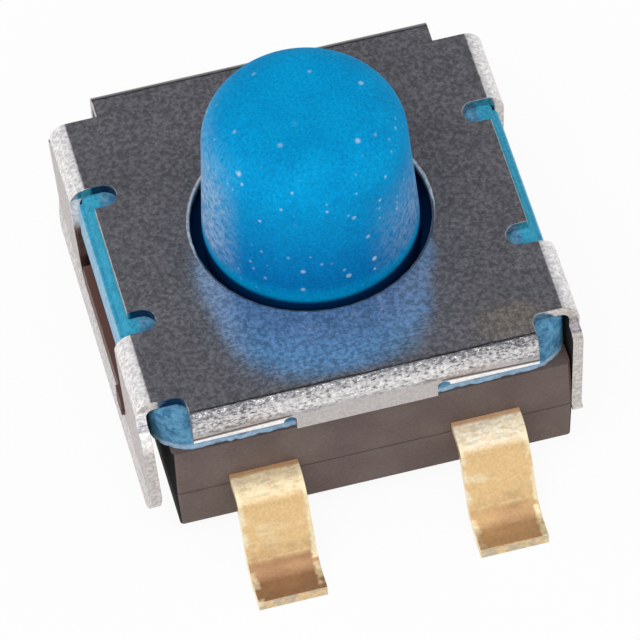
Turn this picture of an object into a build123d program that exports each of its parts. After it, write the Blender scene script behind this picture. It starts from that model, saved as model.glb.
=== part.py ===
"""Sealed surface-mount tactile switch with a folded metal cover.

Sizes are in mm. +Z is up, +X runs to the right along the front edge and +Y to the rear.
The origin is on the board that the lead feet stand on, under the middle of the cover's hole.
"""
import os
from math import asin, degrees

from build123d import *

os.makedirs("parts", exist_ok=True)

# Heights, from the board up and from the cover's top down
overall_height = 5.20
cover_top = 2.84
stand_off = 0.36
rim_drop = 0.87
lead_exit = 1.10

# Cover, one folded sheet
sheet = 0.15
cover_width = 6.32
cover_depth = 6.10
leg_fold = 0.28
flange_fold = 0.18
button_hole = 3.38

# Side legs, joined by a bar that snaps under a rib of the housing and flares out as a lead-in
leg_drop = 2.22
leg_lean = 0.08
foot_flare = 0.05
flare_bend = 0.30
leg_span = 5.64
leg_corner = 0.30
shoulder_span = 5.20
shoulder_corner = 0.14
bar_height = 0.35
window_length = 2.70
window_corner = 0.30

# Cuts that free the legs, the side tabs and the flanges
tab_setback = 0.30
slot_width = 0.38
slot_reach = 0.66
notch_width = 0.50
notch_reach = 0.43

# Front and rear flanges, each with a deeper tongue in the middle
flange_length = 4.90
flange_drop = 0.52
tongue_length = 2.00
tongue_drop = 0.71
tongue_relief = 0.09

# Silicone button and seal, one moulding
button_foot_diameter = 3.04
button_top_diameter = 2.78
button_edge = 0.72
seal_gap = 0.04
seal_corner = 0.60
seal_edge = 0.10
seal_lug = 0.07
moat_width = 0.38
moat_depth = 0.34
web_thickness = 0.20
nub_diameter = 1.40
nub_edge = 0.06
nub_clearance = 0.03

# Housing, one moulding round the two contact strips
housing_clearance = 0.16
housing_depth = 5.82
housing_shift = 0.09
housing_edge = 0.10
upper_draft = 1.0
lower_draft = 3.5
rib_height = 0.32
rib_clearance = 0.02
rib_end_clearance = 0.10
nib_length = 0.30
nib_reach = 0.05

# Contact strips, each one stamping with a front and a rear lead
strip = 0.18
lead_width = 0.98
lead_pitch = 3.17
lead_span = 8.70
lead_shoulder = 0.31
foot_length = 0.60
lead_bend = 0.10
pad_rise = 0.10
rim_pad_length = 1.10
rim_pad_width = 0.42
centre_pad_diameter = 0.80
arm_width = 0.70

# Snap dome
dome_diameter = 4.00
dome_rise = 0.30
dome_sheet = 0.07
well_clearance = 0.08

# Levels and places worked out from the sizes above
cover_under = cover_top - sheet
leg_foot = cover_top - leg_drop
bar_top = leg_foot + bar_height
rim_level = cover_top - rim_drop
strip_top = lead_exit + strip
floor_level = strip_top + pad_rise
nub_level = floor_level + dome_rise + dome_sheet + nub_clearance
moat_level = cover_under - moat_depth
web_under = moat_level - web_thickness
shoulder_level = cover_top - leg_fold - sheet
half_width = cover_width / 2
half_bar = half_width - leg_lean
half_foot = half_bar + foot_flare
half_depth = cover_depth / 2
well_diameter = dome_diameter + 2 * well_clearance
housing_width = cover_width - 2 * sheet - 2 * housing_clearance

# The housing and what it holds sit a little to the right of the cover, as the snap fit leaves them
seat = Plane((housing_shift, 0, 0))
seat_section = Plane((housing_shift, 0, 0), x_dir=(1, 0, 0), z_dir=(0, -1, 0))
seat_axis = Axis((housing_shift, 0, 0), (0, 0, 1))


def finish(piece, name):
    """Label a finished piece and write it."""
    piece.part.label = name
    export_step(piece.part, f"parts/{name}.step")


# Cover
with BuildPart() as cover:
    # The top with a wall down each side
    with BuildSketch(Plane.XZ):
        with BuildLine():
            FilletPolyline(
                (-half_foot, leg_foot), (-half_bar, bar_top), (-half_width, cover_top),
                (half_width, cover_top), (half_bar, bar_top), (half_foot, leg_foot),
                radius=[flare_bend, leg_fold, leg_fold, flare_bend])
            offset(amount=sheet, side=Side.RIGHT)
        make_face()
    extrude(amount=leg_span / 2, both=True)

    # Each wall is narrower at its fold and has round shoulders and feet
    with BuildSketch(Plane.YZ):
        with Locations((0, leg_foot)):
            Rectangle(leg_span, shoulder_level - leg_foot, align=(Align.CENTER, Align.MIN))
            fillet(vertices().group_by(Axis.Y)[0], leg_corner)
            fillet(vertices().group_by(Axis.Y)[-1], shoulder_corner)
            Rectangle(shoulder_span, leg_drop, align=(Align.CENTER, Align.MIN))
    extrude(amount=cover_width, both=True, mode=Mode.INTERSECT)

    # A window in each wall leaves two legs and the bar that joins them
    with BuildSketch(Plane.YZ):
        with Locations((0, (bar_top + cover_under) / 2)):
            Rectangle(window_length, cover_under - bar_top)
        fillet(vertices().group_by(Axis.Y)[0], window_corner)
    extrude(amount=cover_width, both=True, mode=Mode.SUBTRACT)

    # The flanges, first as deep as their tongues
    with BuildSketch(Plane.YZ):
        with BuildLine():
            FilletPolyline(
                (-half_depth, cover_top - tongue_drop), (-half_depth, cover_top),
                (half_depth, cover_top), (half_depth, cover_top - tongue_drop), radius=flange_fold)
            offset(amount=sheet, side=Side.RIGHT)
        make_face()
    extrude(amount=flange_length / 2, both=True)

    # Trim the flanges beside the tongues, with a round relief at each root
    beside = (flange_length - tongue_length) / 2
    with BuildSketch(Plane.XZ.offset(-cover_depth)):
        with Locations((0, cover_top - flange_drop)):
            with GridLocations(tongue_length + beside, 0, 2, 1):
                Rectangle(beside, tongue_drop, align=(Align.CENTER, Align.MAX))
            with GridLocations(tongue_length + 2 * tongue_relief, 0, 2, 1):
                Circle(tongue_relief)
    extrude(amount=2 * cover_depth, mode=Mode.SUBTRACT)

    # Hole, free side tabs, slots and corner notches, cut through the top and its folds
    with BuildSketch(Plane.XY.offset(cover_top)):
        Circle(button_hole / 2)
        with GridLocations(cover_width - tab_setback, 0, 2, 1):
            Rectangle(tab_setback, window_length)
        with GridLocations(
                cover_width + slot_width - slot_reach, window_length - slot_width, 2, 2):
            SlotOverall(slot_reach + slot_width, slot_width)
        with GridLocations(
                flange_length + notch_width, cover_depth + notch_width - notch_reach, 2, 2):
            SlotOverall(notch_reach + notch_width, notch_width, rotation=90)
    extrude(amount=shoulder_level - cover_top, mode=Mode.SUBTRACT)
finish(cover, "cover")

# Silicone actuator
with BuildPart() as actuator:
    # Seal plate between the cover and the housing's rim, with a lug in each window of the cover
    seal_width = cover_width - 2 * sheet - 2 * seal_gap
    seal_depth = cover_depth - 2 * sheet - 2 * seal_gap
    with BuildSketch(Plane.XY.offset(rim_level)):
        RectangleRounded(seal_width, seal_depth, seal_corner)
    extrude(amount=cover_under - rim_level)
    fillet(actuator.faces().sort_by(Axis.Z)[-1].edges(), seal_edge)
    with BuildSketch(Plane.XY.offset(rim_level)):
        RectangleRounded(seal_width + 2 * seal_lug, window_length - 2 * seal_gap, seal_lug)
    extrude(amount=cover_under - seal_edge - rim_level)

    # Moat above and recess below leave a thin web that lets the button sink
    with BuildSketch(Plane.XY.offset(cover_under)):
        Circle(button_foot_diameter / 2 + moat_width)
    extrude(amount=-moat_depth, mode=Mode.SUBTRACT)
    with BuildSketch(Plane.XY.offset(rim_level)):
        Circle(well_diameter / 2)
    extrude(amount=web_under - rim_level, mode=Mode.SUBTRACT)

    # Button with a slight draft and a soft top edge
    with BuildSketch(Plane.XZ):
        with BuildLine():
            Polyline(
                (0, moat_level), (button_foot_diameter / 2, moat_level),
                (button_foot_diameter / 2, cover_top), (button_top_diameter / 2, overall_height),
                (0, overall_height), close=True)
        make_face()
        fillet(vertices().group_by(Axis.Y)[-1].sort_by(Axis.X)[-1], button_edge)
    revolve(axis=Axis.Z)

    # Nub that presses the dome
    with BuildSketch(Plane.XY.offset(nub_level)):
        Circle(nub_diameter / 2)
    extrude(amount=web_under - nub_level)
    fillet(actuator.edges().filter_by(GeomType.CIRCLE).sort_by(Axis.Z)[0], nub_edge)
finish(actuator, "actuator")


def lead_ribbon(middle):
    """One ribbon bent into a front lead, a rail through the housing and a rear lead."""
    tip = lead_span / 2
    heel = tip - foot_length
    knee = housing_depth / 2 + lead_shoulder
    with BuildPart() as ribbon:
        with BuildSketch(Plane.YZ.offset(middle)):
            with BuildLine():
                FilletPolyline(
                    (-tip, 0), (-heel, 0), (-knee, lead_exit),
                    (knee, lead_exit), (heel, 0), (tip, 0),
                    radius=[lead_bend + strip, lead_bend, lead_bend, lead_bend + strip])
                offset(amount=strip, side=Side.LEFT)
            make_face()
        extrude(amount=lead_width / 2, both=True)
    return ribbon.part


# Left contact strip, with the pad that the dome's rim stands on
left_lead = housing_shift - lead_pitch / 2
rim_pad_middle = housing_shift - (dome_diameter - rim_pad_width) / 2
left_ribbon = lead_ribbon(left_lead)
with BuildPart() as rim_contact:
    add(left_ribbon)
    with BuildSketch(Plane((rim_pad_middle, 0, strip_top))):
        Rectangle(rim_pad_width, rim_pad_length)
    extrude(amount=pad_rise)
    with BuildSketch(Plane((rim_pad_middle, 0, lead_exit))):
        Rectangle(rim_pad_width - pad_rise, rim_pad_length - pad_rise)
    extrude(amount=pad_rise, mode=Mode.SUBTRACT)
finish(rim_contact, "rim_contact_strip")

# Right contact strip, with an arm under the dome to the middle pad
right_lead = housing_shift + lead_pitch / 2
right_ribbon = lead_ribbon(right_lead)
with BuildPart() as centre_contact:
    add(right_ribbon)
    with BuildSketch(seat.offset(lead_exit)):
        Circle((arm_width + pad_rise) / 2)
        with Locations((lead_pitch / 4, 0)):
            Rectangle(lead_pitch / 2, arm_width)
        Circle(centre_pad_diameter / 2)
    extrude(amount=strip)
    with BuildSketch(seat.offset(strip_top)):
        Circle(centre_pad_diameter / 2)
    extrude(amount=pad_rise)
    with BuildSketch(seat.offset(lead_exit)):
        Circle((centre_pad_diameter - pad_rise) / 2)
    extrude(amount=pad_rise, mode=Mode.SUBTRACT)
finish(centre_contact, "centre_contact_strip")

# Housing
with BuildPart() as housing:
    # Two drafted halves meet at the parting line, level with the undersides of the leads
    for depth, draft in ((rim_level - lead_exit, upper_draft), (stand_off - lead_exit, lower_draft)):
        with BuildSketch(seat.offset(lead_exit)):
            RectangleRounded(housing_width, housing_depth, housing_edge)
        extrude(amount=depth, taper=draft)

    # A rib on each side sits over the cover's bar, level with the bar's outer face
    rib_foot = bar_top + rib_clearance
    rib_face = half_bar
    rib_end = window_length / 2 - rib_end_clearance
    with BuildSketch(Plane.XY.offset(rib_foot)):
        Rectangle(2 * rib_face, 2 * rib_end)
        with GridLocations(2 * rib_face, 0, 2, 1):
            with Locations((0, nib_length / 2 - rib_end)):
                Rectangle(2 * nib_reach, nib_length)
    extrude(amount=rib_height)

    # Well for the dome
    with BuildSketch(seat.offset(floor_level)):
        Circle(well_diameter / 2)
    extrude(amount=rim_level - floor_level, mode=Mode.SUBTRACT)

    # The strips are moulded in
    add(rim_contact.part, mode=Mode.SUBTRACT)
    add(centre_contact.part, mode=Mode.SUBTRACT)
finish(housing, "housing")

# Snap dome, part of a thin sphere
rim_radius = dome_diameter / 2
sphere = (rim_radius ** 2 + dome_rise ** 2) / (2 * dome_rise)
sphere_middle = floor_level + dome_rise - sphere
half_angle = degrees(asin(rim_radius / sphere))
with BuildPart() as dome:
    with BuildSketch(seat_section):
        with BuildLine():
            under = CenterArc((0, sphere_middle), sphere, 90, -half_angle)
            over = CenterArc((0, sphere_middle), sphere + dome_sheet, 90, -half_angle)
            Line(under @ 0, over @ 0)
            Line(under @ 1, over @ 1)
        make_face()
    revolve(axis=seat_axis)
finish(dome, "snap_dome")
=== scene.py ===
"""Looks of a sealed surface-mount tactile switch: its cover, button and seal, housing, contacts and stage."""

import math

import bmesh
import bpy
from bpy.props import FloatProperty, FloatVectorProperty, PointerProperty
from mathutils import Matrix, Vector, noise


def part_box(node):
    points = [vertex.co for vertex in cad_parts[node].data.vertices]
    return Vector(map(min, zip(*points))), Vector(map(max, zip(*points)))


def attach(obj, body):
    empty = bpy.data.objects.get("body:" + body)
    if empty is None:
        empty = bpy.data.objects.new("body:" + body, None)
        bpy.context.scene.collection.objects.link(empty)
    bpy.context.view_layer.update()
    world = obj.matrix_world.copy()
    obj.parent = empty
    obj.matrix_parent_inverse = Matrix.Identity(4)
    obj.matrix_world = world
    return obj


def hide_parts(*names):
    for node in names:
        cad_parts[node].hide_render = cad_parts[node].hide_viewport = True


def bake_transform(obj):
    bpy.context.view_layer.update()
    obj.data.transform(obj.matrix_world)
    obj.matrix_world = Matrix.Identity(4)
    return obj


bl_info = {
    "name": "Tactile switch",
    "version": (1, 0, 0),
    "blender": (4, 5, 0),
    "location": "3D View > Sidebar > Switch",
    "description": "Builds and paints a sealed surface-mount push switch",
    "category": "Object",
}

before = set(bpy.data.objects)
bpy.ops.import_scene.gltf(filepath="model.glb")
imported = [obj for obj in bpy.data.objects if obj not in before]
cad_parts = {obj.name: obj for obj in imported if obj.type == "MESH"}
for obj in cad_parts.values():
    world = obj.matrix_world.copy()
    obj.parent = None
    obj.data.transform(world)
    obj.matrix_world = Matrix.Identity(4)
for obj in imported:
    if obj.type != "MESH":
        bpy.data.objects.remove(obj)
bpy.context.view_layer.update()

MM = 0.001

# Places that the frame gives
COVER_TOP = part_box("cover")[1].z
RIM_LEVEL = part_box("housing")[1].z
BUTTON_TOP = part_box("actuator")[1].z
NUB_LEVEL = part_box("actuator")[0].z
SEAL_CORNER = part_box("actuator")[1]
HOUSING_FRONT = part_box("housing")[0].y
LEAD_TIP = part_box("rim_contact_strip")[1].y

# Places that the frame's boxes don't give
NOTCH_X, NOTCH_Y = 2.45 * MM, 2.60 * MM
HOLE_REACH = 2 * MM

# Height of the housing's parting line and of the leads' undersides there, in millimetres
PARTING = 1.10

# Nodes of the two contact strips
CONTACTS = ("rim_contact_strip", "centre_contact_strip")

# How near two places are when they count as one
WELD = 0.0005 * MM
TOUCH = 0.001 * MM
ON_RING = 0.002 * MM
NEAR = 0.01 * MM

# Into how many steps each form is cut
TURN_STEPS = 128
BUTTON_EDGE_STEPS = 16
PLATE_CORNER_STEPS = 14
PLATE_SIDE_STEPS = 70
BEND_STEPS = 10
NOTCH_STEPS = 6
EDGE_STEPS = 4
SMALL_EDGE_STEPS = 3
BEVEL_STEPS = 2
FOOT_RINGS = 12

# Angles between two faces, in degrees: drawn sharp above, rounded above, and made one face below
SHARP_ANGLE = 32
BEVEL_ANGLE = 40
FLAT_ANGLE = 0.5

# The stage
KEY_PLACE = (-0.12, -0.16, 0.30)
KEY_SIZE = 0.22
FLOOR_RADIUS = 0.8
FLOOR_SIDES = 64
FLOOR_GLOW = 0.93
CAMERA_NEAR, CAMERA_FAR = 0.01, 20
WHITE = (1, 1, 1, 1)


def length(name, description, millimetres):
    """A size that a user may change."""
    return FloatProperty(name=name, description=description, default=millimetres * MM, min=0, unit="LENGTH",
                         precision=5)


def angle(name, description, degrees):
    """An angle that a user may change."""
    return FloatProperty(name=name, description=description, default=math.radians(degrees), subtype="ANGLE")


def colour(name, description, *default):
    """A colour that a user may change."""
    return FloatVectorProperty(name=name, description=description, default=default, size=3, min=0, max=1,
                               subtype="COLOR")


class SwitchSizes(bpy.types.PropertyGroup):
    """Sizes of the switch's pieces."""

    sheet_edge: length("Sheet edge", "Rounding of the cover's cut edges", 0.018)
    hole_edge: length("Hole edge", "Rounding of the cover's hole", 0.045)
    notch_corner: length("Notch corner", "Radius in the corners of the cover's front notches", 0.15)
    moulded_edge: length("Moulded edge", "Rounding of the housing's edges", 0.03)
    lead_edge: length("Lead edge", "Rounding of the stamped leads' edges", 0.022)
    lead_width: length("Lead width", "Width of each lead", 0.98)
    lead_strip: length("Lead strip", "Thickness of the leads", 0.18)
    lead_exit: length("Lead exit", "Height of the leads' undersides at the housing", PARTING)
    lead_shoulder: length("Lead shoulder", "From the housing to where the lead turns down", 0.31)
    lead_foot: length("Lead foot", "Length of each foot", 0.60)
    knee_bend: length("Knee bend", "How much of the lead's upper bend is round", 0.15)
    heel_bend: length("Heel bend", "How much of the lead's lower bend is round", 0.30)
    sheet: length("Sheet", "Thickness of the cover's sheet", 0.15)
    button_foot: length("Button foot radius", "Radius of the button at the cover", 1.52)
    button_top: length("Button top radius", "Radius that the button's sides lean in to at its top", 1.39)
    button_edge: length("Button edge", "Width of the button's round edge", 0.68)
    seal_corner: length("Seal corner", "Radius of the seal plate's front corners", 0.60)
    seal_rear_corner: length("Seal rear corner", "Radius of the seal plate's rear corners", 1.15)
    seal_edge: length("Seal edge", "Rounding of the seal plate's upper edge", 0.10)
    seal_lug: length("Seal lug", "How far the seal reaches into the cover's windows", 0.07)
    seal_lug_length: length("Seal lug length", "Length of the seal's lugs", 2.62)
    seal_flash: length("Seal flash", "How ragged the seal's lower edge is", 0.035)
    moat_width: length("Moat width", "Width of the moat around the button's foot", 0.38)
    moat_depth: length("Moat depth", "Depth of the moat around the button's foot", 0.34)
    web: length("Web", "Thickness of the web that lets the button sink", 0.20)
    well: length("Well radius", "Radius of the space under the web", 2.08)
    nub: length("Nub radius", "Radius of the nub that presses the dome", 0.70)


class SwitchColours(bpy.types.PropertyGroup):
    """Colours of the switch's finishes."""

    silicone: colour("Silicone", "Body colour of the button", 0.0, 0.33, 0.68)
    silicone_cloud: colour("Silicone cloud", "Darker cloudy places of the button", 0.0, 0.29, 0.63)
    silicone_low: colour("Silicone low", "Shaded lower part of the button's side", 0.0, 0.150, 0.43)
    # Real dust specks, and also painted sheen on the button's sides and painted highlights along the seal
    # plate's edges
    silicone_dust_and_sheen: colour("Silicone dust", "Pale dust on the silicone", 0.50, 0.66, 0.82)
    seal: colour("Seal", "Dusty face of the seal plate", 0.15, 0.34, 0.49)
    seal_stain: colour("Seal stain", "Dark blotches on the seal plate", 0.010, 0.085, 0.22)
    lug: colour("Lug", "Clean lugs in the cover's windows", 0.045, 0.40, 0.60)
    # Painted shade deep in the moat round the button's foot
    moat: colour("Moat", "Depth of the moat round the button", 0.0, 0.015, 0.09)
    steel: colour("Steel", "Rolled face of the cover's sheet", 0.62, 0.61, 0.68)
    steel_cloud: colour("Steel cloud", "Duller cloudy places of the sheet", 0.55, 0.55, 0.61)
    # Painted highlight where the cover's folds, the hole's rim, the flange's lips and the legs' cut front
    # edges catch the light
    steel_highlight: colour("Bright steel", "Steel stretched at folds and rubbed at edges", 0.93, 0.91, 0.90)
    steel_warm: colour("Warm steel", "Heat tint of the cover", 0.80, 0.64, 0.48)
    # Painted shade: the cover's side faces and its legs' front faces are coloured darker and warmer than its
    # top
    steel_side: colour("Side steel", "The cover's side faces", 0.46, 0.42, 0.40)
    steel_leg: colour("Leg steel", "Front edges of the cover's legs", 0.55, 0.51, 0.49)
    steel_tongue: colour("Tongue steel", "Lower part of the cover's flange", 0.50, 0.465, 0.45)
    # Painted shade inside the cover, on its legs' inner faces and along its rear edges
    steel_shade: colour("Inside steel", "Faces inside the cover and edges at its rear", 0.05, 0.05, 0.05)
    spangle_dark: colour("Dark spangle", "Dark grains of the bent sheet", 0.15, 0.15, 0.17)
    spangle_grey: colour("Grey spangle", "Grey grains of the bent sheet", 0.27, 0.27, 0.29)
    # Painted glints on the bent sheet's grains
    spangle_glint: colour("Bright spangle", "Bright grains of the bent sheet", 0.72, 0.70, 0.70)
    # Painted shade: the dark line under each of the flange's lips
    crease: colour("Crease", "Dark line along the ends of the flange", 0.07, 0.06, 0.06)
    # Painted shade on the walls of the narrow slots at the front corners
    slot: colour("Slot", "Walls of the narrow slots at the front corners", 0.05, 0.09, 0.15)
    plastic: colour("Plastic", "Moulded housing", 0.115, 0.080, 0.076)
    # Lighter rubbed places, and also a painted highlight on the housing's front left corner edge
    plastic_rub_and_highlight: colour("Rubbed plastic", "Lighter rubbed places of the housing", 0.22, 0.18, 0.15)
    plastic_rib: colour("Ribs", "Ribs of the housing in the cover's windows", 0.16, 0.05, 0.035)
    plastic_gap: colour("Gap", "Shadow in the parting line and behind the legs", 0.003, 0.003, 0.003)
    gold: colour("Gold", "Plated leads", 0.87, 0.60, 0.30)
    # Painted highlights along the leads' edges and on the left lead's shoulder; also a pale line at the lower
    # bend and pale patches on the slopes
    gold_pale: colour("Pale gold", "Rubbed edges of the leads", 1.0, 0.86, 0.58)
    # Painted highlight on the right lead's shoulder
    gold_highlight: colour("White gold", "Shoulder of the left leads", 1.0, 0.92, 0.72)
    # Painted shade on the feet, in cloudy patches and heavier on the left lead
    gold_foot_shade: colour("Dull gold", "Handled feet of the leads", 0.47, 0.27, 0.15)
    gold_smudge: colour("Smudge", "Smudges and drawn streaks on the leads", 0.36, 0.24, 0.13)
    # Painted shadow on the leads where they leave the housing
    gold_outlet_shade: colour("Outlet", "Leads where they leave the housing", 0.50, 0.24, 0.09)
    gold_tip: colour("Tip", "Bare cut ends of the feet", 0.46, 0.42, 0.33)
    dome_steel: colour("Dome steel", "Snap dome", 0.70, 0.70, 0.72)
    dome_cloud: colour("Dome cloud", "Duller cloudy places of the snap dome", 0.62, 0.62, 0.65)


class SwitchStage(bpy.types.PropertyGroup):
    """Camera, lamp, room and floor."""

    azimuth: angle("Azimuth", "Where the camera stands round the switch", -10.87)
    elevation: angle("Elevation", "How high the camera stands", 50.405)
    roll: angle("Roll", "How the camera leans", -4.492)
    distance: length("Distance", "From the camera to the middle of the cover's hole", 103.09)
    look_right: length("Look right", "How far right of the hole's middle the camera looks", 0.132)
    look_down: length("Look down", "How far below the hole's middle the camera looks", 1.461)
    lens: FloatProperty(name="Lens", description="Focal length of the camera, in mm", default=417.5, min=1)
    key: FloatProperty(name="Key lamp", description="Brightness of the large lamp", default=2.6, min=0)
    fill: FloatProperty(name="Fill", description="Brightness of the room", default=0.85, min=0)
    cloth: FloatProperty(name="Cloth", description="Brightness of the dark cloth behind and above",
                         default=0.05, min=0)
    cloth_edge: angle("Cloth edge", "How far from the cloth's middle the white room starts", 36)
    cloth_full: angle("Cloth full", "How far from its middle the cloth starts to brighten", 22)
    floor: colour("Floor", "Colour of the floor", 0.86, 0.86, 0.86)


class Value:
    """A socket's number, which Python's operators join with Math nodes."""

    def __init__(self, surface, socket):
        self.surface, self.socket = surface, socket

    def maths(self, operation, *values):
        return self.surface.node("Math", {"operation": operation}, dict(enumerate(values)))

    def __add__(self, other):
        return self.maths("ADD", self, other)

    def __sub__(self, other):
        return self.maths("SUBTRACT", self, other)

    def __mul__(self, other):
        return self.maths("MULTIPLY", self, other)

    def __truediv__(self, other):
        return self.maths("DIVIDE", self, other)

    def __pow__(self, other):
        return self.maths("POWER", self, other)

    def __rsub__(self, other):
        return self.maths("SUBTRACT", other, self)

    def __abs__(self):
        return self.maths("ABSOLUTE", self)

    __radd__ = __add__
    __rmul__ = __mul__

    def least(self, other):
        return self.maths("MINIMUM", self, other)

    def most(self, other):
        return self.maths("MAXIMUM", self, other)

    def step(self, low, high):
        """Goes smoothly from 0 at low to 1 at high; high may be the smaller."""
        return self.surface.node("MapRange", {"interpolation_type": "SMOOTHSTEP"},
                                 {"Value": self, "From Min": low, "From Max": high})

    def band(self, middle, width):
        """1 at middle, and 0 beyond width from it."""
        return abs(self - middle).step(width, 0)


class Surface:
    """A material's node tree with one Principled shader; its x, y and z are places in millimetres."""

    def __init__(self, name, **constants):
        self.material = bpy.data.materials.new(name)
        self.material.use_nodes = True
        self.tree = self.material.node_tree
        self.shader = self.tree.nodes["Principled BSDF"]
        for name, value in constants.items():
            self.shader.inputs[name.replace("_", " ")].default_value = value
        coordinates = self.tree.nodes.new("ShaderNodeTexCoord")
        self.place = Value(self, coordinates.outputs["Object"])
        self.x, self.y, self.z = (axis * (1 / MM) for axis in self.parts(self.place))
        self.facing = self.parts(Value(self, coordinates.outputs["Normal"]))

    def node(self, kind, settings=None, sockets=None, output=0):
        """Adds a node: its settings first, and then the values or links of its sockets."""
        node = self.tree.nodes.new("ShaderNode" + kind)
        for name, value in (settings or {}).items():
            setattr(node, name, value)
        for name, value in (sockets or {}).items():
            if isinstance(value, Value):
                self.tree.links.new(value.socket, node.inputs[name])
            else:
                node.inputs[name].default_value = value
        return Value(self, node.outputs[output])

    def parts(self, vector):
        """A vector's three numbers."""
        return [self.node("SeparateXYZ", None, {0: vector}, output) for output in range(3)]

    def from_axis(self):
        """How far a place is from the button's axis, in millimetres."""
        return (self.x * self.x + self.y * self.y) ** 0.5

    def grain(self, millimetres, detail=2.0, roughness=0.5, scale=None):
        """Soft noise with features of about that size, from 0 to 1; a small scale draws them out."""
        place = self.node("Mapping", None, {"Vector": self.place, "Scale": scale}) if scale else self.place
        return self.node("TexNoise", None, {"Vector": place, "Scale": 1 / (millimetres * MM),
                                            "Detail": detail, "Roughness": roughness})

    def specks(self, spacing, size, share):
        """Round specks of that size, in about that share of cells spacing wide."""
        cells = {"Vector": self.place, "Scale": 1 / (spacing * MM)}
        near = self.node("TexVoronoi", None, cells, "Distance").step(size / spacing, 0.25 * size / spacing)
        chosen, strength, _ = self.parts(self.node("TexVoronoi", None, cells, "Color"))
        return near * chosen.step(1 - share, 1.02 - share) * (0.3 + 0.7 * strength)

    def mix(self, share, a, b):
        """Goes from colour a to colour b."""
        a, b = (value if isinstance(value, Value) else (*value, 1) for value in (a, b))
        return self.node("Mix", {"data_type": "RGBA"}, {0: share, 6: a, 7: b}, 2)

    def over(self, tone, *layers):
        """Lays pairs of a share and a colour over a tone, one after the other."""
        for share, layer in layers:
            tone = self.mix(share, tone, layer)
        return tone

    def shade(self, tone, shade):
        """Multiplies a colour by a number."""
        return self.node("VectorMath", {"operation": "SCALE"}, {0: tone, "Scale": shade})

    def bump(self, height, millimetres, over=None):
        """A normal for a height that counts as that many millimetres."""
        sockets = {"Height": height, "Distance": millimetres * MM, "Strength": 1}
        if over:
            sockets["Normal"] = over
        return self.node("Bump", None, sockets)

    def finish(self, **links):
        """Links values to the shader's inputs and gives the material."""
        for name, value in links.items():
            self.tree.links.new(value.socket, self.shader.inputs[name.replace("_", " ")])
        return self.material


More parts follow.
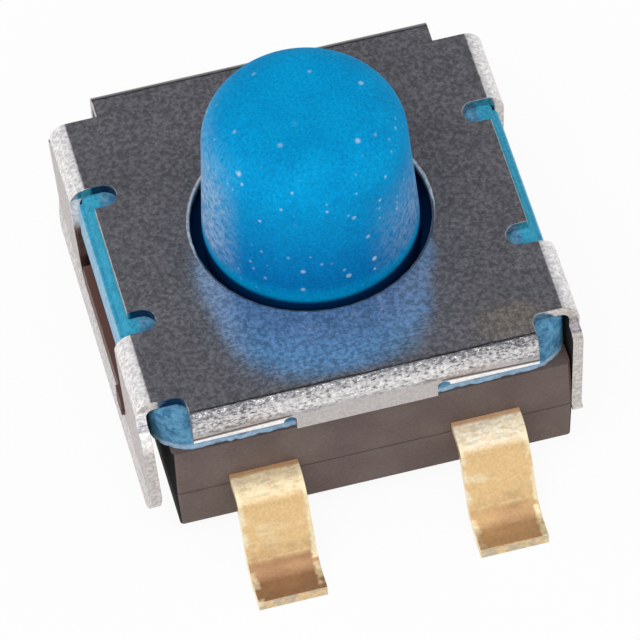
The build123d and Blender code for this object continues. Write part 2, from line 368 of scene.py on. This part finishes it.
def steel(colours):
    """Rolled sheet: dark and fine grained on its faces, with painted highlights and glints where it is folded
    or cut, and painted shade on its sides, inside it and along its rear edges.
    """
    paint = Surface("cover_steel")
    across, along, up = paint.facing
    out, below = abs(paint.x), COVER_TOP / MM - paint.z

    # The sheet's grain
    fine = paint.grain(0.035, detail=3, roughness=0.6)
    mottle = paint.grain(0.06, roughness=0.7).step(0.30, 0.70)
    crystal = paint.grain(0.040, roughness=0.7, scale=(0.50, 1, 1))
    patch = paint.grain(0.30, detail=3, roughness=0.6, scale=(0.6, 1, 1))
    cloud = paint.grain(0.9)
    rolled = paint.grain(0.030, roughness=0.6, scale=(0.08, 1, 1))
    sparkle = crystal.step(0.40, 0.62)

    # The cover's faces and edges
    flat = up.step(0.982, 0.999)
    # The folds, which get a painted highlight
    fold = (1 - flat) * up.step(0.05, 0.25) * abs(along).step(0.10, 0.02)
    front = along.step(-0.12, -0.30)
    side = abs(across).step(0.5, 0.8)
    # The rear edges, which get painted shade
    rear = along.step(0.02, 0.10) * (1 - flat) * up.step(0.45, 0.60)
    # The legs' inner faces, which get painted shade
    inner_shade = (paint.x * across * -1.0).step(1.4, 2.2) * out.step(2.72, 2.80)
    # The hole's rim, which gets a painted highlight
    rim = paint.from_axis().band(1.703, 0.034) * below.step(0.10, 0.06)
    # The legs' cut front edges, which get a painted highlight
    leg_edge = front * paint.x.step(-2.5, -2.6) * below.step(0.16, 0.20) * below.step(0.9, 0.6)
    # The slots' walls, which get painted shade
    slot_wall_shade = front * out.step(2.4, 2.5) * out.step(2.86, 2.80) * below.step(0.16, 0.14)
    right, ahead = paint.x - 2.15, paint.y + 2.60
    warm = (right * right * 2.2 + ahead * ahead * 5.0).step(1.0, 0.0) * flat

    # The front flange, with a spangled bend that gets painted glints, a tongue in its middle, and at each end
    # a lip with a painted highlight over a line of painted shade
    flange = along.step(-0.14, -0.34) * paint.y.step(-2.60, -2.75) * out.step(2.6, 2.5)
    middle = abs(paint.x + 0.1).step(1.8, 1.2)
    glint = along.step(-0.50, -0.90) * below.step(0.42, 0.26) * (0.7 + 0.3 * middle)
    spangled = flange * (below + 0.20 * (patch - 0.5)).step(0.42, 0.28)
    end = out.step(1.02, 1.10) * flange
    seam = below + (NOTCH_X / MM - out).most(0.0) * 0.035
    # Each lip gets a painted highlight, and the crease under it a line of painted shade
    lip, crease = end * seam.step(0.466, 0.478), end * seam.band(0.440, 0.034)

    tone = paint.over(
        colours.steel,
        (cloud.step(0.35, 0.7), colours.steel_cloud),
        (warm * 0.5, colours.steel_warm),
        # Painted shade on the side faces and the legs' front faces
        (side * 0.9, colours.steel_side),
        (front * out.step(2.5, 2.6), colours.steel_leg),
        # Painted highlights on the folds, the hole's rim, the lips and the legs' cut front edges
        ((fold * (0.6 + 0.4 * sparkle)).most(rim).most(lip).most(leg_edge), colours.steel_highlight),
        (flange * below.step(0.2, 0.35) * (1 - lip) * 0.95, colours.steel_tongue))
    dull = paint.mix(patch.step(0.40, 0.62), colours.spangle_dark, colours.spangle_grey)
    # Painted glints on the bend's grains, brightest at its lower end
    bright = (crystal + 0.12 * glint).step(0.44, 0.62) * (0.45 + 0.55 * glint)
    tone = paint.mix(spangled, tone, paint.mix(bright, dull, colours.spangle_glint))
    mottling = (0.48 + 0.22 * flat) * (mottle - 0.5) * (1 - 0.6 * flange * (1 - spangled))
    tone = paint.over(
        paint.shade(tone, 1 + mottling),
        # Painted shade along the crease
        (crease * 0.95, colours.crease),
        # Painted shade on the slots' walls
        (slot_wall_shade * paint.x.step(1.0, -1.0), colours.slot),
        # Painted shade on the rear edges and the legs' inner faces
        ((rear * 0.85).most(inner_shade), colours.steel_shade))

    roughness = 0.10 + 0.12 * fine + 0.30 * fold.most(side).most(rim) + 0.10 * warm + 0.5 * inner_shade
    crown = paint.bump(paint.x * paint.y.step(0.0, -1.5), 0.04)
    normal = paint.bump(crystal * fold.most(spangled), 0.008, paint.bump(rolled, 0.0030, crown))
    metallic = 1 - (0.7 * rim.most(leg_edge)).most(0.35 * fold * (1 - flange)).most(0.15 * flat)
    return paint.finish(Base_Color=tone, Roughness=roughness, Normal=normal, Metallic=metallic)


def silicone(colours):
    """Matte silicone: dust specks, painted sheen and painted shade on the button, blotches and painted edge
    highlights on the seal.
    """
    paint = Surface("silicone", IOR=1.41, Specular_IOR_Level=0.07)
    out, above, from_axis = abs(paint.x), paint.z - COVER_TOP / MM, paint.from_axis()
    fine = paint.grain(0.04, detail=3, roughness=0.6)
    cloud = paint.grain(0.5)
    patchy = paint.grain(0.09, detail=3, roughness=0.7).step(0.25, 0.75)
    blotch = paint.grain(0.14, detail=3, roughness=0.65).step(0.36, 0.60)

    # The button, whose left and right are those of the stage's camera
    plate = from_axis.step(1.93, 1.97)
    # The moat, which gets painted shade
    moat = (1 - plate) * above.step(0.0, -0.10)
    side = from_axis.step(1.05, 1.38) * above.step(0.0, 0.3)
    low = side * above.step(2.1, 0.0)
    outward = (paint.x * 0.98 - paint.y * 0.19) / from_axis.most(0.1)
    left, right = (outward * -1.0).step(0.62, 1.0), outward.step(0.45, 1.0)
    # Painted sheen on the button's sides, toward the camera's left and right
    painted_sheen = side * (left * above.step(2.4, 1.2)).most(right * above.step(1.8, 0.6) * 0.6) * patchy
    dust = paint.specks(0.33, 0.055, 0.55).most(paint.specks(0.15, 0.034, 0.35) * side) * (1 - plate)

    # The seal plate
    lug = out.step(2.70, 2.76) * abs(paint.y).step(1.42, 1.36)
    # Painted highlight along the seal plate's lower edge and its lugs' outer edges
    rubbed = plate * (above.step(-0.74, -0.81).most(out.step(3.01, 3.03))) * (0.4 + 0.6 * patchy)

    tone = paint.over(
        colours.silicone,
        (cloud.step(0.3, 0.7), colours.silicone_cloud),
        (low * 0.9, colours.silicone_low),
        (plate * 0.85, colours.seal),
        (lug * 0.9, colours.lug),
        (plate * (1 - blotch) * (0.62 - 0.40 * lug), colours.seal_stain))
    tone = paint.over(
        paint.shade(tone, 0.40 + 1.12 * fine),
        # Dust specks, painted sheen on the button and painted highlights on the seal's edges
        ((painted_sheen * 0.8).most(dust * 0.9).most(rubbed * 0.9), colours.silicone_dust_and_sheen),
        # Painted shade in the moat
        (moat * 0.95, colours.moat))
    return paint.finish(Base_Color=tone, Roughness=0.60 + 0.2 * fine, Normal=paint.bump(fine, 0.0015))


def plastic(colours):
    """Moulded thermoplastic with a fine spark texture and a faint parting line level with the leads."""
    paint = Surface("housing_plastic", IOR=1.5, Specular_IOR_Level=0.3)
    fine = paint.grain(0.05, detail=3, roughness=0.6)
    cloud = paint.grain(0.6, detail=3)
    parting = paint.z.band(PARTING, 0.022)
    # Painted highlight on the housing's front left corner edge
    corner = paint.x.band(-2.73, 0.05) * paint.y.band(-2.9, 0.12)
    rib = abs(paint.x).step(2.89, 2.93)
    shaded = abs(paint.facing[0]).step(0.5, 0.7) * abs(paint.y).step(1.3, 1.4)
    tone = paint.mix(cloud.step(0.25, 0.8) * 0.35, colours.plastic, colours.plastic_rub_and_highlight)
    tone = paint.over(
        paint.shade(tone, 0.6 + 0.8 * fine),
        # Painted highlight on the front left corner
        (corner * 0.5, colours.plastic_rub_and_highlight),
        (rib * 0.5, colours.plastic_rib),
        ((parting * 0.6).most(shaded * (1 - rib)), colours.plastic_gap))
    normal = paint.bump(parting * -1.0, 0.010, paint.bump(fine, 0.002))
    return paint.finish(Base_Color=tone, Roughness=0.50 + 0.2 * fine + 0.3 * shaded, Normal=normal)


def gold(colours, middles, width):
    """Gold plate over stamped strip: painted highlights at its edges and shoulders, a pale line at its lower
    bend, painted shade and a rougher finish on the feet, and a painted shadow where it leaves the housing.
    """
    paint = Surface("lead_gold", Metallic=1.0)
    along, up = paint.facing[1:]
    fine = paint.grain(0.045, detail=3, roughness=0.6)
    cloud = paint.grain(0.30, scale=(0.6, 1, 1))
    drawn = paint.grain(0.06, roughness=0.6, scale=(0.3, 1, 1))
    ragged = paint.grain(0.12, detail=3, roughness=0.7)
    patchy = ragged.step(0.40, 0.60)
    left, right = paint.x.step(0.5, -0.5), paint.x.step(-0.5, 0.5)

    # From the housing down to the foot
    shoulder = paint.z.step(PARTING, 1.22)
    # Painted shadow next to the housing
    outlet_shade = (abs(paint.y) + HOUSING_FRONT / MM).step(0.11, 0.04) * shoulder
    streak = drawn.step(0.46, 0.62) * shoulder
    patch = cloud.step(0.50, 0.66) * paint.z.band(0.75, 0.32)
    tread = up.step(0.3, 0.7)
    crease = paint.z.band(0.37, 0.030) * ragged.step(0.45, 0.56) * tread
    smudge = cloud.step(0.52, 0.66) * paint.z.band(0.45, 0.25) * tread
    # The feet, which get painted shade
    foot = (paint.z + 0.35 * (ragged - 0.5)).step(0.58, 0.30) * tread
    tip = abs(along).step(0.7, 0.9) * paint.z.step(0.26, 0.20)
    beside = abs(paint.x - middles[0] / MM).least(abs(paint.x - middles[1] / MM)) - width / MM / 2
    # The leads' edges, which get a painted highlight
    edge = (beside + 0.13 * (ragged - 0.5) + 0.03 * foot).step(-0.085, -0.03) * cloud.step(0.40, 0.52)

    tone = paint.over(
        colours.gold,
        (patch * 0.6, colours.gold_pale),
        # Painted highlights on the shoulders
        (shoulder * (0.6 + 0.4 * patchy), paint.mix(left, colours.gold_highlight, colours.gold_pale)),
        # Painted shade on the feet, heavier on the left lead
        (foot * (0.15 + 0.80 * cloud + 0.45 * left), colours.gold_foot_shade),
        ((streak * 0.30).most(smudge * 0.7), colours.gold_smudge),
        # Painted highlight along the edges, and a pale line at the lower bend
        ((edge * 0.9).most(crease * 0.9), colours.gold_pale),
        # Painted shadow where the leads leave the housing
        (outlet_shade * 0.8, colours.gold_outlet_shade),
        (tip * (0.25 + 0.60 * patchy), colours.gold_tip))
    tone = paint.shade(tone, 0.72 + 0.56 * fine)
    roughness = 0.22 + 0.16 * fine + 0.26 * foot + 0.30 * shoulder
    normal = paint.bump(drawn, 0.0030, paint.bump(cloud, 0.010))
    metallic = 1 - shoulder * (0.62 + 0.30 * right)
    return paint.finish(Base_Color=tone, Roughness=roughness, Normal=normal, Metallic=metallic)


def bright_spring(colours):
    """Bright rolled spring steel."""
    paint = Surface("dome_steel", Metallic=1.0)
    fine = paint.grain(0.05, roughness=0.6, scale=(1, 0.1, 1))
    tone = paint.mix(paint.grain(0.6), colours.dome_steel, colours.dome_cloud)
    tone = paint.shade(tone, 0.85 + 0.3 * fine)
    return paint.finish(Base_Color=tone, Roughness=0.18 + 0.12 * fine, Normal=paint.bump(fine, 0.001))


def white_floor(tone):
    """A white table that keeps a soft shadow."""
    paint = Surface("floor", Roughness=0.8, Specular_IOR_Level=0.2)
    paint.shader.inputs["Base Color"].default_value = (*tone, 1)
    rays = paint.tree.nodes.new("ShaderNodeLightPath")
    camera, mirror = (Value(paint, rays.outputs[name]) for name in ("Is Camera Ray", "Is Glossy Ray"))
    glow = paint.node("Emission", None, {"Color": WHITE, "Strength": 1.0})
    lit = Value(paint, paint.shader.outputs[0])
    mixed = paint.node("MixShader", None, {0: camera.most(mirror) * FLOOR_GLOW, 1: lit, 2: glow})
    paint.tree.links.new(mixed.socket, paint.tree.nodes["Material Output"].inputs["Surface"])
    return paint.material


def edges_where(bm, test):
    """Edges whose two ends both pass the test."""
    return [edge for edge in bm.edges if all(test(vertex.co) for vertex in edge.verts)]


def round_off(bm, edges, radius, segments):
    """Rounds edges of a mesh."""
    bmesh.ops.bevel(bm, geom=edges, affect="EDGES", offset=radius, offset_type="OFFSET", segments=segments,
                    profile=0.5, material=-1)


def cut_through(bm, place, direction, clear=False):
    """Cuts a mesh by a plane, clears what lies beyond it if asked, and gives the edges of the cut."""
    cut = bmesh.ops.bisect_plane(bm, geom=bm.verts[:] + bm.edges[:] + bm.faces[:], clear_outer=clear,
                                 plane_co=place, plane_no=direction)["geom_cut"]
    return [item for item in cut if isinstance(item, bmesh.types.BMEdge)]


def shade(bm):
    """Smooth faces, with the sharper edges left sharp."""
    for face in bm.faces:
        face.smooth = True
    for edge in bm.edges:
        edge.smooth = edge.calc_face_angle(0) < math.radians(SHARP_ANGLE)


def make_piece(name, bm, material):
    """An object from a bmesh, with its finish."""
    mesh = bpy.data.meshes.new(name)
    bm.to_mesh(mesh)
    bm.free()
    mesh.materials.append(material)
    piece = bpy.data.objects.new(name, mesh)
    bpy.context.scene.collection.objects.link(piece)
    return piece


def rounded_edges(piece, width):
    """Small round edges that catch the light."""
    bevel = piece.modifiers.new("edges", "BEVEL")
    bevel.width, bevel.segments = width, BEVEL_STEPS
    bevel.limit_method, bevel.angle_limit = "ANGLE", math.radians(BEVEL_ANGLE)
    bevel.harden_normals = True


def merged(node):
    """A node's mesh with its triangles joined and its flat faces made whole."""
    bm = bmesh.new()
    bm.from_mesh(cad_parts[node].data)
    bmesh.ops.remove_doubles(bm, verts=bm.verts, dist=WELD)
    bmesh.ops.dissolve_limit(bm, angle_limit=math.radians(FLAT_ANGLE), verts=bm.verts, edges=bm.edges)
    return bm


def finish_node(node, name, material, width, bm):
    """A piece with rounded edges, which stands for a node."""
    shade(bm)
    piece = make_piece(name, bm, material)
    rounded_edges(piece, width)
    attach(piece, "base")
    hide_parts(node)


class SWITCH_OT_cover(bpy.types.Operator):
    """Build the folded cover"""

    bl_idname = "switch.cover"
    bl_label = "Cover"

    def execute(self, context):
        sizes, colours = context.scene.switch_sizes, context.scene.switch_colours
        bm = merged("cover")
        notches = edges_where(bm, lambda co: abs(abs(co.x) - NOTCH_X) < NEAR and abs(co.y + NOTCH_Y) < NEAR
                              and co.z > COVER_TOP - MM / 2)
        if len(notches) != 2:
            raise RuntimeError("the cover doesn't have two front notches to round off")
        round_off(bm, notches, sizes.notch_corner, NOTCH_STEPS)
        hole = edges_where(bm, lambda co: co.xy.length < HOLE_REACH and co.z > COVER_TOP - NEAR)
        if not hole:
            raise RuntimeError("the cover has no hole to round off")
        round_off(bm, hole, sizes.hole_edge, EDGE_STEPS)
        finish_node("cover", "folded_cover", steel(colours), sizes.sheet_edge, bm)
        return {"FINISHED"}


class SWITCH_OT_actuator(bpy.types.Operator):
    """Build the silicone button with its seal, web and nub"""

    bl_idname = "switch.actuator"
    bl_label = "Button and seal"

    def plate_wall(self, bm, sizes, height):
        """Adds the seal plate's outer wall, with round corners and fine steps along its sides."""
        size = Vector((2 * (SEAL_CORNER.x - sizes.seal_lug), 2 * SEAL_CORNER.y, height))
        bmesh.ops.create_cube(bm, size=1)
        bmesh.ops.scale(bm, vec=size, verts=bm.verts)
        bmesh.ops.translate(bm, vec=(0, 0, RIM_LEVEL + height / 2), verts=bm.verts)
        lids = [face for face in bm.faces if abs(face.normal.z) > 0.5]
        bmesh.ops.delete(bm, geom=lids, context="FACES_ONLY")
        for side, radius in ((-1, sizes.seal_corner), (1, sizes.seal_rear_corner)):
            corners = [edge for edge in edges_where(bm, lambda co: side * co.y > 0)
                       if abs(edge.verts[0].co.z - edge.verts[1].co.z) > height / 2]
            round_off(bm, corners, radius, PLATE_CORNER_STEPS)
        sides = [edge for edge in bm.edges if edge.calc_length() > MM]
        bmesh.ops.subdivide_edges(bm, edges=sides, cuts=PLATE_SIDE_STEPS, use_grid_fill=True)

    def turned(self, bm, profile):
        """Turns a line of (radius, height) points round the button's axis."""
        points = [bm.verts.new((radius, 0, height)) for radius, height in profile]
        lines = [bm.edges.new(pair) for pair in zip(points, points[1:])]
        bmesh.ops.spin(bm, geom=points + lines, axis=(0, 0, 1), cent=(0, 0, 0), angle=math.tau,
                       steps=TURN_STEPS, use_merge=True)

    def close(self, bm, levels):
        """Joins the wall and the turned forms by a flat ring at each level."""
        bmesh.ops.remove_doubles(bm, verts=bm.verts, dist=WELD)
        for level in levels:
            rim = [edge for edge in edges_where(bm, lambda co: abs(co.z - level) < TOUCH) if edge.is_boundary]
            bmesh.ops.bridge_loops(bm, edges=rim)
        if any(edge.is_boundary for edge in bm.edges):
            raise RuntimeError("the button and seal aren't closed")
        bmesh.ops.recalc_face_normals(bm, faces=bm.faces)

    def squeezed_foot(self, bm):
        """Cuts the button's foot into rings, so that it can be squeezed."""
        first, step = 0.02 * MM, 0.08 * MM
        for ring in range(FOOT_RINGS):
            cut_through(bm, (0, 0, COVER_TOP + first + step * ring), (0, 0, 1))

    def flash(self, bm, on_plate, depth):
        """Makes the seal plate's lower edge ragged."""
        wide, narrow = 0.09 * MM, 0.04 * MM
        for vertex in bm.verts:
            if on_plate(vertex.co) and vertex.co.z < RIM_LEVEL + TOUCH:
                ragged = noise.noise(vertex.co / wide) + 0.6 * noise.noise(vertex.co / narrow)
                vertex.co += vertex.co.xy.normalized().to_3d() * depth * ragged

    def lug(self, bm, sizes, side, height):
        """Adds the block that reaches into one of the cover's windows."""
        reach, edge_width, gap = 0.6 * MM, 0.05 * MM, 0.1 * MM
        block = bmesh.ops.create_cube(bm, size=1)["verts"]
        bmesh.ops.scale(bm, vec=(reach, sizes.seal_lug_length, height - gap), verts=block)
        middle = (side * (SEAL_CORNER.x - reach / 2), 0, RIM_LEVEL + (height - gap) / 2)
        bmesh.ops.translate(bm, vec=middle, verts=block)
        outer = dict.fromkeys(edge for vertex in block for edge in vertex.link_edges
                              if all(side * end.co.x > SEAL_CORNER.x - reach / 2 for end in edge.verts))
        round_off(bm, list(outer), edge_width, SMALL_EDGE_STEPS)

    def execute(self, context):
        sizes, colours = context.scene.switch_sizes, context.scene.switch_colours
        small_edge, plate_inset, squeeze = 0.06 * MM, 0.1 * MM, 0.82 * MM
        under = COVER_TOP - sizes.sheet
        height = under - RIM_LEVEL
        moat_floor, moat_wall = under - sizes.moat_depth, sizes.button_foot + sizes.moat_width
        web_under = moat_floor - sizes.web

        def on_plate(co):
            return co.xy.length > sizes.well + plate_inset

        bm = bmesh.new()
        self.plate_wall(bm, sizes, height)
        self.turned(bm, [(0, BUTTON_TOP), (sizes.button_top, BUTTON_TOP), (sizes.button_foot, COVER_TOP),
                         (sizes.button_foot, moat_floor), (moat_wall, moat_floor), (moat_wall, under)])
        self.turned(bm, [(sizes.well, RIM_LEVEL), (sizes.well, web_under), (sizes.nub, web_under),
                         (sizes.nub, NUB_LEVEL), (0, NUB_LEVEL)])
        self.close(bm, (under, RIM_LEVEL))

        plate_edge = edges_where(bm, lambda co: on_plate(co) and co.z > under - TOUCH)
        round_off(bm, plate_edge, sizes.seal_edge, EDGE_STEPS)
        for radius, level, width, segments in (
                (sizes.button_top, BUTTON_TOP, sizes.button_edge, BUTTON_EDGE_STEPS),
                (moat_wall, under, small_edge, SMALL_EDGE_STEPS),
                (sizes.nub, NUB_LEVEL, small_edge, SMALL_EDGE_STEPS)):
            ring = edges_where(bm, lambda co: abs(co.xy.length - radius) < ON_RING
                               and abs(co.z - level) < ON_RING)
            round_off(bm, ring, width, segments)
        self.squeezed_foot(bm)
        self.flash(bm, on_plate, sizes.seal_flash)
        for side in (-1, 1):
            self.lug(bm, sizes, side, height)
        shade(bm)
        piece = make_piece("button_and_seal", bm, silicone(colours))
        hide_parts("actuator")
        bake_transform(piece)
        return {"FINISHED"}


class SWITCH_OT_housing(bpy.types.Operator):
    """Build the moulded housing"""

    bl_idname = "switch.housing"
    bl_label = "Housing"

    def execute(self, context):
        finish = plastic(context.scene.switch_colours)
        finish_node("housing", "moulded_housing", finish,
                    context.scene.switch_sizes.moulded_edge, merged("housing"))
        return {"FINISHED"}


class SWITCH_OT_contacts(bpy.types.Operator):
    """Build the two contact strips with their leads"""

    bl_idname = "switch.contacts"
    bl_label = "Contact strips"

    def lead(self, bm, sizes, middle, side):
        """Adds a lead that comes out of the housing and turns down to its foot, with soft bends."""
        root = -HOUSING_FRONT - 0.3 * MM
        knee, heel = sizes.lead_shoulder - HOUSING_FRONT, LEAD_TIP - sizes.lead_foot
        line = ((root, sizes.lead_exit), (knee, sizes.lead_exit), (heel, 0), (LEAD_TIP, 0))
        corners = [bm.verts.new((middle - sizes.lead_width / 2, side * y, z)) for y, z in line]
        edges = [bm.edges.new(pair) for pair in zip(corners, corners[1:])]
        strip = bmesh.ops.extrude_edge_only(bm, edges=edges)["geom"]
        ends = [item for item in strip if isinstance(item, bmesh.types.BMVert)]
        bmesh.ops.translate(bm, vec=(sizes.lead_width, 0, 0), verts=ends)
        for y, bend in ((knee, sizes.knee_bend), (heel, sizes.heel_bend)):
            across = edges_where(bm, lambda co: abs(co.y - side * y) < TOUCH
                                 and abs(co.x - middle) < sizes.lead_width)
            round_off(bm, [edge for edge in across if len(edge.link_faces) == 2], bend, BEND_STEPS)
        faces = []
        for face in bm.faces:
            place = face.calc_center_median()
            if abs(place.x - middle) < NEAR and side * place.y > 0 and any(e.is_boundary for e in face.edges):
                faces.append(face)
        bm.normal_update()
        bmesh.ops.reverse_faces(bm, faces=[face for face in faces if face.normal.z < 0])
        bmesh.ops.solidify(bm, geom=faces, thickness=-sizes.lead_strip)

    def execute(self, context):
        sizes = context.scene.switch_sizes
        end = -HOUSING_FRONT - 0.2 * MM
        middles = [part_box(node)[1].x - sizes.lead_width / 2 for node in CONTACTS]
        finish = gold(context.scene.switch_colours, middles, sizes.lead_width)
        for node, middle in zip(CONTACTS, middles):
            bm = merged(node)
            for side in (-1, 1):
                cut = cut_through(bm, (0, side * end, 0), (0, side, 0), clear=True)
                bmesh.ops.holes_fill(bm, edges=cut)
            for side in (-1, 1):
                self.lead(bm, sizes, middle, side)
            bmesh.ops.recalc_face_normals(bm, faces=bm.faces)
            name = node.replace("contact_strip", "leads")
            finish_node(node, name, finish, sizes.lead_edge, bm)
        return {"FINISHED"}


class SWITCH_OT_dome(bpy.types.Operator):
    """Finish the snap dome"""

    bl_idname = "switch.dome"
    bl_label = "Snap dome"

    def execute(self, context):
        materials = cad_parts["snap_dome"].data.materials
        materials.clear()
        materials.append(bright_spring(context.scene.switch_colours))
        return {"FINISHED"}


class SWITCH_OT_stage(bpy.types.Operator):
    """Set up the camera, the lamp, the room and the floor"""

    bl_idname = "switch.stage"
    bl_label = "Stage"

    def towards_camera(self, stage):
        """The direction from the switch to the camera."""
        return Vector((math.sin(stage.azimuth) * math.cos(stage.elevation),
                       -math.cos(stage.azimuth) * math.cos(stage.elevation), math.sin(stage.elevation)))

    def camera(self, scene, stage):
        """Stands the camera where it sees the switch as a product picture does."""
        back = self.towards_camera(stage)
        level = (-back).cross(Vector((0, 0, 1))).normalized()
        lean = Matrix.Rotation(stage.roll, 3, back)
        right, up = lean @ level, lean @ level.cross(-back)
        hole = Vector((0, 0, COVER_TOP))
        place = hole + back * stage.distance
        z = (place - (hole + right * stage.look_right - up * stage.look_down)).normalized()
        x = up.cross(z).normalized()
        camera = bpy.data.objects.new("camera", bpy.data.cameras.new("camera"))
        camera.data.lens = stage.lens
        camera.data.clip_start, camera.data.clip_end = CAMERA_NEAR, CAMERA_FAR
        camera.matrix_world = Matrix.Translation(place) @ Matrix((x, z.cross(x), z)).transposed().to_4x4()
        scene.collection.objects.link(camera)
        scene.camera = camera

    def key_lamp(self, scene, stage):
        """A square soft lamp that faces the switch."""
        lamp = bpy.data.objects.new("key", bpy.data.lights.new("key", "AREA"))
        lamp.data.size = KEY_SIZE
        lamp.data.energy = stage.key * math.pi * KEY_SIZE ** 2
        lamp.location = KEY_PLACE
        lamp.rotation_euler = Vector(KEY_PLACE).to_track_quat("Z", "Y").to_euler()
        lamp.visible_camera = False
        scene.collection.objects.link(lamp)

    def room(self, scene, stage):
        """A white room, with a dark cloth hung where the cover's top face mirrors the camera's view."""
        world = bpy.data.worlds.new("room")
        world.use_nodes = True
        scene.world = world
        tree = world.node_tree
        direction = tree.nodes.new("ShaderNodeTexCoord").outputs["Generated"]
        back = self.towards_camera(stage)
        towards_cloth = tree.nodes.new("ShaderNodeVectorMath")
        towards_cloth.operation = "DOT_PRODUCT"
        towards_cloth.inputs[1].default_value = (-back.x, -back.y, back.z)
        edge = tree.nodes.new("ShaderNodeMapRange")
        edge.interpolation_type = "SMOOTHSTEP"
        for name, value in (("From Min", math.cos(stage.cloth_edge)), ("To Min", stage.fill),
                            ("From Max", math.cos(stage.cloth_full)), ("To Max", stage.cloth)):
            edge.inputs[name].default_value = value
        tree.links.new(direction, towards_cloth.inputs[0])
        tree.links.new(towards_cloth.outputs["Value"], edge.inputs["Value"])
        tree.links.new(edge.outputs[0], tree.nodes["Background"].inputs["Strength"])
        tree.nodes["Background"].inputs["Color"].default_value = WHITE

    def floor(self, scene, stage):
        """A round white table under the switch."""
        bm = bmesh.new()
        bmesh.ops.create_circle(bm, cap_ends=True, segments=FLOOR_SIDES, radius=FLOOR_RADIUS)
        floor = bpy.data.objects.new("floor", bpy.data.meshes.new("floor"))
        bm.to_mesh(floor.data)
        bm.free()
        floor.data.materials.append(white_floor(stage.floor))
        scene.collection.objects.link(floor)

    def execute(self, context):
        scene = context.scene
        stage = scene.switch_stage
        self.camera(scene, stage)
        self.key_lamp(scene, stage)
        self.room(scene, stage)
        self.floor(scene, stage)
        scene.view_settings.view_transform = "Standard"
        return {"FINISHED"}


class SWITCH_PT_panel(bpy.types.Panel):
    """Lists the steps that build the switch"""

    bl_label = "Switch"
    bl_idname = "SWITCH_PT_panel"
    bl_space_type = "VIEW_3D"
    bl_region_type = "UI"
    bl_category = "Switch"

    def draw(self, context):
        scene = context.scene
        for operator in OPERATORS:
            self.layout.operator(operator.bl_idname)
        for group in (scene.switch_sizes, scene.switch_colours, scene.switch_stage):
            box = self.layout.box()
            for name in type(group).__annotations__:
                box.prop(group, name)


OPERATORS = (SWITCH_OT_cover, SWITCH_OT_actuator, SWITCH_OT_housing, SWITCH_OT_contacts, SWITCH_OT_dome,
             SWITCH_OT_stage)
GROUPS = {"switch_sizes": SwitchSizes, "switch_colours": SwitchColours, "switch_stage": SwitchStage}


def register():
    for made in (*GROUPS.values(), *OPERATORS, SWITCH_PT_panel):
        bpy.utils.register_class(made)
    for name, group in GROUPS.items():
        setattr(bpy.types.Scene, name, PointerProperty(type=group))


def unregister():
    for name in GROUPS:
        delattr(bpy.types.Scene, name)
    for made in (SWITCH_PT_panel, *OPERATORS, *GROUPS.values()):
        bpy.utils.unregister_class(made)


def main():
    """Builds everything."""
    register()
    for build in (bpy.ops.switch.cover, bpy.ops.switch.actuator, bpy.ops.switch.housing,
                  bpy.ops.switch.contacts, bpy.ops.switch.dome, bpy.ops.switch.stage):
        build()


if __name__ == "__main__":
    main()
